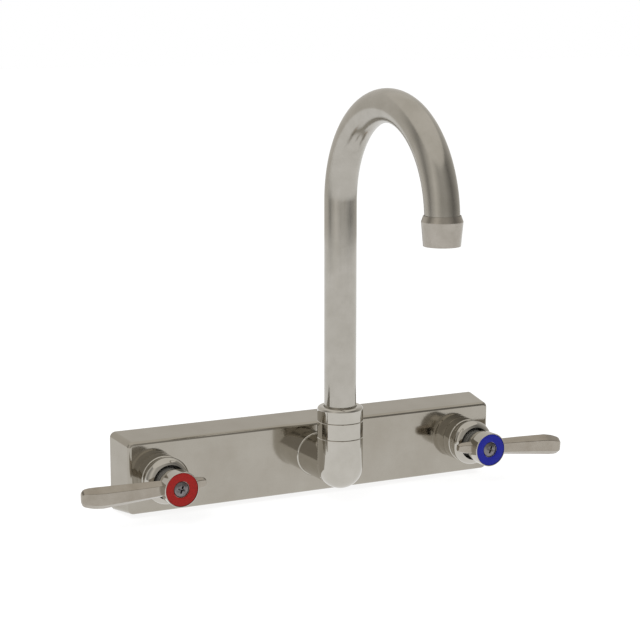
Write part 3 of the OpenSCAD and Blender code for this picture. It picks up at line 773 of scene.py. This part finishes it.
    def build_blade(self, name: str, reach: float, table: Sequence[Shares]) -> Piece:
        """Draws out a blade from a six-cornered section, station by station.

        Args:
            name: The new piece's name.
            reach: The reach from the valve's axis, negative for the tail.
            table: The stations' shares.

        Returns:
            The blade.
        """
        order = [(1, 0), (1, 1), (1, 2), (-1, 2), (-1, 1), (-1, 0)]
        put_down()
        bpy.ops.mesh.primitive_circle_add(vertices=len(order), radius=MM, fill_type="NGON")
        blade = settle(name)
        with shaping(blade):
            choose_all()
            for row, shares in enumerate(table):
                if row:
                    bpy.ops.mesh.extrude_region_move(TRANSFORM_OT_translate={"value": (0, 0, MM)})
                mesh = bmesh.from_edit_mesh(blade.data)
                ring = [f for f in mesh.faces if f.select][0].verts
                for corner, (up, layer) in zip(ring, order):
                    corner.co = self.lever_corner(reach, shares, up, layer)
                bmesh.update_edit_mesh(blade.data)
            close_up()
        return blade

    def build_handle(self, wardrobe: Wardrobe) -> None:
        """Joins hub, lever and tail into one casting: a polished hub with belt-polished blades."""
        front = self.hub_front
        outline = [
            (4.6, 43.5, 0.3), (8.6, 43.5, 0.5), (9.62, 45.48, 0.8), (self.hub_r, 49.44, 2.0),
            (self.hub_r, 56.4, 0.22), (10.0, front, 0.12), (9.78, front, 0.08), (9.75, self.ring_seat, 0),
            (4.6, self.ring_seat, 0.1),
        ]
        hub = self.spindle.turn(self.name + "_handle_casting", eased(outline, 4), 128)
        coats = [wardrobe.cloth(slot) for slot in ("polished_chrome", "satin_lever")]
        for coat in coats:
            hub.data.materials.append(coat)
        bore = self.spindle.turn(self.name + "_bore", [(0, 40), (8.2, 40), (8.2, 55.0), (0, 55.0)], 48)
        for name, reach, table in (
            ("_lever", self.lever_reach, self.lever_shares),
            ("_tail", -self.tail_reach, self.tail_shares),
        ):
            blade = self.build_blade(self.name + name, reach, table)
            work(
                blade, "BEVEL", width=self.ridge_ease * MM, segments=4, limit_method="ANGLE",
                angle_limit=math.radians(self.ridge_deg),
            )
            for coat in coats:
                blade.data.materials.append(coat)
            for face in blade.data.polygons:
                face.material_index = 1
            combine(blade, twin_of(bore, self.name + "_core"), Cut.AWAY)
            combine(hub, blade, Cut.JOINED)
        bpy.data.objects.remove(bore)
        with shaping(hub):
            choose_all()
            bpy.ops.mesh.remove_doubles(threshold=MERGE * MM)
        smooth(hub, 30)
        wardrobe.wear(hub, "satin_lever", self.name + "_lever", self.name + "_handle")

    def build_index_ring(self, wardrobe: Wardrobe) -> None:
        """Turns the enamel ring that fills the hub's recess."""
        seat = self.ring_seat
        outline = [(4.8, seat, 0), (9.7, seat, 0), (9.7, 56.42, 0.3), (7.2, 56.52, 0), (4.8, 56.42, 0.3)]
        ring = self.spindle.turn(self.name + "_index_enamel", eased(outline, 3))
        smooth(ring, 40, weighted=False)
        slot = "red_index" if self.side is Side.HOT else "blue_index"
        wardrobe.wear(ring, slot, self.name + "_lever", self.name + "_index_ring")

    def build_screw(self, wardrobe: Wardrobe) -> None:
        """Turns the pan head and drives a tapered cross recess into it."""
        shaft, head = self.screw_r, self.screw_head_r
        outline = [
            (0, 44.0, 0), (shaft, 44.0, 0.2), (shaft, 54.24, 0), (head, 54.24, 0.2), (head, 55.7, 0.5),
            (2.4, 56.45, 0.8), (0, 56.54, 0),
        ]
        screw = self.spindle.turn(self.name + "_pan_screw", eased(outline, 4), 64)
        middle = (self.side.sign * self.valve_x, -56.55, 0)
        for turn in self.wing_turns:
            wing = add_block(self.name + "_wing", self.wing, middle, math.radians(turn))
            with shaping(wing):
                choose(wing, Part.FACES, lambda p, n: n.y > ALONG)
                bpy.ops.transform.resize(value=(self.wing_taper, 1, self.wing_taper))
            combine(screw, wing, Cut.AWAY)
        smooth(screw, 28)
        wardrobe.wear(screw, "dark_screw", self.name + "_lever", self.name + "_handle_screw")


@dataclass
class LockNuts:
    """The two hexagon nuts behind the wall."""

    valve_x: float = VALVE_X
    span: Point = (8.6, 15.1)
    flats: float = 30.0
    bore_r: float = 10.5
    chamfer: float = 1.3
    lead_in: float = 0.8
    flare: float = 1.9

    def build(self, wardrobe: Wardrobe) -> None:
        """Cuts both nuts from hexagon bar, turns their chamfers and bores them."""
        nuts = []
        near, far = self.span
        corner_r = self.flats / 2 / math.cos(math.pi / 6)
        for side in Side:
            axis = Spindle((side.sign * self.valve_x, 0, 0), (0, 1, 0))
            put_down()
            bpy.ops.mesh.primitive_cylinder_add(
                vertices=6, radius=corner_r * MM, depth=(far - near) * MM, rotation=(math.pi / 2, 0, 0),
                location=(side.sign * self.valve_x * MM, (near + far) / 2 * MM, 0),
            )
            nut = settle(side.value + "_lock_nut")
            wide, flat, cut = corner_r + 0.02, self.flats / 2, self.chamfer
            outline = [(0, near), (flat, near), (wide, near + cut), (wide, far - cut), (flat, far), (0, far)]
            combine(nut, axis.turn("nut_lens", outline), Cut.COMMON)
            hole, mouth = self.bore_r, self.bore_r + self.flare
            outline = [
                (0, near - 1), (mouth, near - 1), (hole, near + self.lead_in), (hole, far - self.lead_in),
                (mouth, far + 1), (0, far + 1),
            ]
            combine(nut, axis.turn("nut_drill", outline), Cut.AWAY)
            nuts.append(nut)
        take_up(nuts[0])
        nuts[1].select_set(True)
        bpy.ops.object.join()
        nuts[0].name = "lock_nuts_chamfered"
        smooth(nuts[0], 25)
        wardrobe.wear(nuts[0], "brass", "faucet_body", "shank_nuts")


@dataclass
class SpoutBase:
    """The elbow that carries the spout, with its swivel ring and nut."""

    out: float = SPOUT_OUT
    rise: float = OUTLET_RISE
    column_r: float = COLUMN_R
    barrel_r: float = 12.75
    lip_r: float = 13.35
    lip: Corner = (0.45, 0.8, 0.95)
    socket_r: float = 10.56
    nipple_r: float = 9.5
    water_r: float = 6.5
    column_top: float = 19.0
    ring_top: float = 28.7
    nut_top: float = 37.5
    shoulder: float = 2.0
    edge: float = 0.33

    @property
    def spindle(self) -> Spindle:
        """The spout's swivel axis, measured from the wall's height."""
        return Spindle((0, -self.out, 0), (0, 0, 1))

    def build(self, wardrobe: Wardrobe) -> None:
        """Builds and dresses elbow, ring and nut."""
        self.build_elbow(wardrobe)
        self.build_ring(wardrobe)
        self.build_nut(wardrobe)

    def build_elbow(self, wardrobe: Wardrobe) -> None:
        """Turns column and barrel, joins them where they meet, and bores both."""
        ball = arc((0, self.rise), self.column_r, -90, 0, 18)
        ball[0] = (0.0, ball[0][1])
        side, top, edge = self.column_r, self.column_top, self.edge
        outline = [*ball, (side, top - edge), (side - edge, top), (0, top)]
        column = self.spindle.turn("elbow_casting", outline, 128)
        barrel_axis = Spindle((0, 0, self.rise), (0, -1, 0))
        face, (flat, ease, blend_in) = COVER_DEPTH, self.lip
        outline = [
            (0, 2.5), (self.nipple_r, 2.5), (self.nipple_r, face), (self.lip_r, face),
            (self.lip_r, face + flat), (self.lip_r - 0.25, face + ease), (self.barrel_r, face + blend_in),
            (self.barrel_r, self.out), (0, self.out),
        ]
        combine(column, barrel_axis.turn("elbow_barrel", outline, 128), Cut.JOINED)
        foot, seat = self.rise - 7.5, self.socket_r
        outline = [
            (0, foot), (7.475, foot), (7.475, 10.9), (seat, 10.9), (seat, 14.6), (12.0, 14.6), (12.0, 25.0),
            (0, 25.0),
        ]
        combine(column, self.spindle.turn("elbow_socket", outline), Cut.AWAY)
        end = self.out - 3
        outline = [(0, 0.5), (self.water_r, 0.5), (self.water_r, end), (0, end)]
        combine(column, barrel_axis.turn("elbow_bore", outline, 48), Cut.AWAY)
        smooth(column, 18)
        wardrobe.wear(column, "polished_chrome", "faucet_body", "outlet_elbow")

    def build_ring(self, wardrobe: Wardrobe) -> None:
        """Turns the swivel ring with a fine chamfer at each seam."""
        side, top, edge = self.column_r, self.ring_top, self.edge
        outline = [
            (self.socket_r, 14.65), (11.95, 14.65), (11.95, self.column_top), (side - edge, self.column_top),
            (side, self.column_top + edge), (side, top - edge), (side - edge, top), (11.9, top), (11.9, 22.0),
            (self.socket_r, 22.0),
        ]
        ring = self.spindle.turn("swivel_ring_turned", outline, 128)
        smooth(ring, 30)
        wardrobe.wear(ring, "polished_chrome", "faucet_body", "swivel_ring")

    def build_nut(self, wardrobe: Wardrobe) -> None:
        """Turns the spout nut with its rounded shoulder."""
        side, seam, top, edge = self.column_r, self.ring_top, self.nut_top, self.edge
        shoulder = arc((side - self.shoulder, top - self.shoulder), self.shoulder, 0, 90, 10)
        outline = [
            (9.65, 27.9), (11.85, 27.9), (11.85, seam), (side - edge, seam), (side, seam + edge), *shoulder,
            (9.9, top), (9.65, top - 0.25),
        ]
        nut = self.spindle.turn("spout_nut_turned", outline, 128)
        smooth(nut, 30)
        wardrobe.wear(nut, "polished_chrome", "faucet_body", "spout_nut")


@dataclass
class Gooseneck:
    """The bent tube and the sleeve on its outlet."""

    pipe_r: float = 9.35
    wall: float = 1.2
    out: float = SPOUT_OUT
    foot: float = 16.0
    bend_height: float = 157.5
    bend_r: float = 57.0
    tip: float = 150.0
    lengths: int = 6

    def build(self, wardrobe: Wardrobe) -> None:
        """Builds and dresses tube and sleeve."""
        self.build_tube(wardrobe)
        self.build_sleeve(wardrobe)

    def build_tube(self, wardrobe: Wardrobe) -> None:
        """Draws a ring upwards, spins it round the bend and down to the outlet, then gives it its wall."""
        put_down()
        bpy.ops.mesh.primitive_circle_add(
            vertices=72, radius=self.pipe_r * MM, fill_type="NOTHING",
            location=(0, -self.out * MM, self.foot * MM),
        )
        tube = settle("gooseneck_tube")
        rise, drop = self.bend_height - self.foot, self.bend_height - self.tip
        with shaping(tube):
            bpy.ops.mesh.select_mode(type="EDGE")
            choose_all()
            for _ in range(self.lengths):
                step = (0, 0, rise / self.lengths * MM)
                bpy.ops.mesh.extrude_region_move(TRANSFORM_OT_translate={"value": step})
            middle = (0, -(self.out + self.bend_r) * MM, self.bend_height * MM)
            bpy.ops.mesh.spin(steps=72, angle=math.pi, center=middle, axis=(-1, 0, 0))
            bpy.ops.mesh.extrude_region_move(TRANSFORM_OT_translate={"value": (0, 0, -drop * MM)})
            close_up()
        work(tube, "SOLIDIFY", thickness=self.wall * MM, offset=-1)
        self.mark_pipe_places(tube)
        smooth(tube, 40, weighted=False)
        wardrobe.wear(tube, "brushed_tube", "spout", "gooseneck")

    def mark_pipe_places(self, tube: Piece) -> None:
        """Writes each corner's place in the straightened pipe, so that brushed lines follow the bend."""
        layer = tube.data.attributes.new("pipe_place", "FLOAT_VECTOR", "POINT")
        middle_y, middle_z = -(self.out + self.bend_r), self.bend_height
        for corner, value in zip(tube.data.vertices, layer.data):
            x, y, z = corner.co / MM
            if z > middle_z:
                angle = math.atan2(z - middle_z, y - middle_y)
                side = math.hypot(y - middle_y, z - middle_z) - self.bend_r
                run = middle_z + self.bend_r * angle
            elif y > middle_y:
                side, run = y + self.out, z
            else:
                side = -(y + self.out + 2 * self.bend_r)
                run = middle_z + self.bend_r * math.pi + middle_z - z
            value.vector = (x * MM, side * MM, run * MM)

    def build_sleeve(self, wardrobe: Wardrobe) -> None:
        """Turns the outlet sleeve: cone on the tube, sharp shoulder, drafted skirt, thin lip."""
        axis = Spindle((0, -(self.out + 2 * self.bend_r), 0), (0, 0, 1))
        outline = [
            (8.25, 145.0, 0), (9.9, 145.0, 0.18), (11.0, 157.45, 0), (11.0, 158.0, 0.22), (9.95, 161.0, 0.12),
            (9.65, 161.0, 0), (9.65, 157.5, 0), (9.4, 157.5, 0), (9.4, 147.78, 0), (8.25, 147.78, 0),
        ]
        sleeve = axis.turn("outlet_sleeve_turned", eased(outline, 3), 96)
        smooth(sleeve, 22)
        wardrobe.wear(sleeve, "brushed_sleeve", "spout", "outlet_sleeve")


# The studio


@dataclass
class Studio:
    """Camera, pale floor, plain soft light, and one wide backdrop that polished metal mirrors."""

    eye: Corner = (-486.9, -988.0, 275.2)
    azimuth_deg: float = 26.87
    elevation_deg: float = 10.07
    lens_mm: float = 104.14
    sensor_mm: float = 36.0
    clip_m: float = 50.0
    floor_z: float = -24.2
    spout_out: float = SPOUT_OUT
    floor_side_m: float = 12.0
    floor_mirrored: float = 0.95
    floor_glow: float = 0.84
    floor_paper: float = 0.32
    floor_bounce: float = 0.8
    world_tone: float = 0.6
    warmth: Point = (0.97, 0.92)
    ceiling_tone: float = 0.8
    backdrop_r: float = 1200.0
    backdrop_top: float = 1200.0

    # Direction from the spout and tone: 0 is the cold side, 90 the wall, and 180 the hot side
    backdrop_strips: tuple[Point, ...] = (
        (-180, 0.5), (-150, 0.8), (-120, 0.5), (-90, 0.5), (-45, 0.2), (0, 0.5), (45, 0.7), (135, 0.7),
        (165, 0.3), (180, 0.5),
    )

    def build(self) -> None:
        """Sets up everything that isn't the faucet."""
        self.place_camera()
        self.lay_floor()
        self.hang_backdrop()
        self.hang_ceiling()
        self.fill_world()
        self.hang_lamp("key_softbox", (-700, -700, 900), 600, 5.0)
        self.hang_lamp("fill_softbox", (800, -300, 700), 500, 2.0)
        bpy.context.scene.view_settings.view_transform = "Standard"

    def place_camera(self) -> None:
        """Puts the camera where the photograph was taken from."""
        put_down()
        bpy.ops.object.camera_add(
            location=Vector(self.eye) * MM,
            rotation=(math.radians(90 - self.elevation_deg), 0, -math.radians(self.azimuth_deg)),
        )
        camera = bpy.context.object
        camera.name = "photo_camera"
        camera.data.lens = self.lens_mm
        camera.data.sensor_width = self.sensor_mm
        camera.data.clip_end = self.clip_m
        bpy.context.scene.camera = camera

    def hang_lamp(self, name: str, place: Sequence[float], size: float, watts: float) -> None:
        """Hangs a soft square lamp that looks at the faucet.

        Args:
            name: The lamp's name.
            place: Where it hangs, in millimetres.
            size: Its side, in millimetres.
            watts: Its power.
        """
        put_down()
        spot = Vector(place) * MM
        turn = (-spot).to_track_quat("-Z", "Y").to_euler()
        bpy.ops.object.light_add(type="AREA", location=spot, rotation=turn)
        lamp = bpy.context.object
        lamp.name = name
        lamp.data.size = size * MM
        lamp.data.energy = watts
        lamp.visible_glossy = False

    def seen_directly(self, tree: Tree) -> Output:
        """A factor that is 1 for what the camera, a mirror or clear glass sees, and 0 for soft light."""
        path = add_node(tree, "LightPath")
        first = greater(tree, path.outputs["Is Camera Ray"], path.outputs["Is Glossy Ray"])
        return greater(tree, first, path.outputs["Is Transmission Ray"])

    def lay_floor(self) -> None:
        """Lays the pale floor just under the cover, white but for the faucet's soft shadow."""
        put_down()
        bpy.ops.mesh.primitive_plane_add(size=self.floor_side_m, location=(0, 0, self.floor_z * MM))
        floor = settle("studio_floor")
        material, tree = new_material("floor_paper_white")
        table = add_node(tree, "Emission", {"Color": grey(self.floor_mirrored)})
        glow = add_node(tree, "Emission", {"Color": grey(1.0), "Strength": self.floor_glow})
        paper = add_node(tree, "BsdfDiffuse", {"Color": grey(self.floor_paper)})
        white = add_node(tree, "AddShader", {0: glow.outputs[0], 1: paper.outputs[0]})
        plain = add_node(tree, "BsdfDiffuse", {"Color": grey(self.floor_bounce)})
        path = add_node(tree, "LightPath")
        bounced = greater(tree, path.outputs["Is Glossy Ray"], path.outputs["Is Transmission Ray"])
        mirrored = add_node(tree, "MixShader", {0: bounced, 1: plain.outputs[0], 2: table.outputs[0]})
        seen = path.outputs["Is Camera Ray"]
        pick = add_node(tree, "MixShader", {0: seen, 1: mirrored.outputs[0], 2: white.outputs[0]})
        add_node(tree, "OutputMaterial", {"Surface": pick.outputs[0]})
        floor.data.materials.append(material)

    def light_cloth(self, cloth: Piece, material: Material, colour: Any) -> None:
        """Gives a cloth its plain glow, which only shows in polished metal and casts no shadow.

        Args:
            cloth: The piece of backdrop.
            material: Its material, with the nodes that make the colour.
            colour: The colour, or the output that gives it.
        """
        tree = material.node_tree
        glow = add_node(tree, "Emission", {"Color": colour})
        add_node(tree, "OutputMaterial", {"Surface": glow.outputs[0]})
        material.cycles.emission_sampling = "NONE"
        cloth.data.materials.append(material)
        cloth.visible_camera = cloth.visible_diffuse = cloth.visible_shadow = False
        cloth.visible_transmission = cloth.visible_volume_scatter = False

    def hang_backdrop(self) -> None:
        """Hangs the round backdrop wide of the whole set, in a few broad strips that blend softly."""
        put_down()
        height = self.backdrop_top - self.floor_z
        bpy.ops.mesh.primitive_cylinder_add(
            vertices=180, radius=self.backdrop_r * MM, depth=height * MM, end_fill_type="NOTHING",
            location=Vector((0, -self.spout_out, self.floor_z + height / 2)) * MM,
        )
        cloth = settle("backdrop")
        material, tree = new_material("backdrop_cloth")
        place = add_node(tree, "SeparateXYZ", {0: add_node(tree, "TexCoord").outputs["Object"]})
        depth = add_node(tree, "Math", {0: place.outputs["Y"], 1: self.spout_out * MM}, operation="ADD")
        angle = add_node(tree, "Math", {0: depth.outputs[0], 1: place.outputs["X"]}, operation="ARCTAN2")
        ramp = add_node(tree, "ValToRGB", {"Fac": remap(tree, angle.outputs[0], (-math.pi, math.pi))})
        stops = ramp.color_ramp.elements
        while len(stops) > 1:
            stops.remove(stops[-1])
        strips = [((azimuth + 180) / 360, grey(tone, *self.warmth)) for azimuth, tone in self.backdrop_strips]
        for position, _ in strips[1:]:
            stops.new(position)
        for stop, (position, colour) in zip(stops, strips):
            stop.position, stop.color = position, colour
        self.light_cloth(cloth, material, ramp.outputs["Color"])

    def hang_ceiling(self) -> None:
        """Closes the backdrop above with one plain light cloth."""
        put_down()
        middle = Vector((0, -self.spout_out, self.backdrop_top)) * MM
        bpy.ops.mesh.primitive_plane_add(size=2 * self.backdrop_r * MM, location=middle)
        cloth = settle("backdrop_ceiling")
        material, _ = new_material("ceiling_cloth")
        self.light_cloth(cloth, material, grey(self.ceiling_tone, *self.warmth))

    def fill_world(self) -> None:
        """Fills the world: soft even light, and plain white for the camera and for mirrors."""
        world = bpy.data.worlds.new("studio_world")
        bpy.context.scene.world = world
        world.use_nodes = True
        tree = world.node_tree
        tree.nodes.clear()
        soft = add_node(tree, "Background", {"Color": grey(1.0), "Strength": self.world_tone})
        white = add_node(tree, "Background", {"Color": grey(1.0), "Strength": 1.0})
        seen = self.seen_directly(tree)
        pick = add_node(tree, "MixShader", {0: seen, 1: soft.outputs[0], 2: white.outputs[0]})
        add_node(tree, "OutputWorld", {"Surface": pick.outputs[0]})


def main() -> None:
    """Builds every sub-assembly in order, dresses the CAD nodes that still show, and sets up the studio."""
    logging.basicConfig(level=logging.INFO, format="%(name)s %(message)s")
    wardrobe = Wardrobe()
    Cover().build(wardrobe)
    for valve in (Valve(Side.HOT, 1.6), Valve(Side.COLD, 3.9)):
        valve.build(wardrobe)
    LockNuts().build(wardrobe)
    SpoutBase().build(wardrobe)
    Gooseneck().build(wardrobe)
    wardrobe.dress_cad()
    Studio().build()


if __name__ == "__main__":
    main()
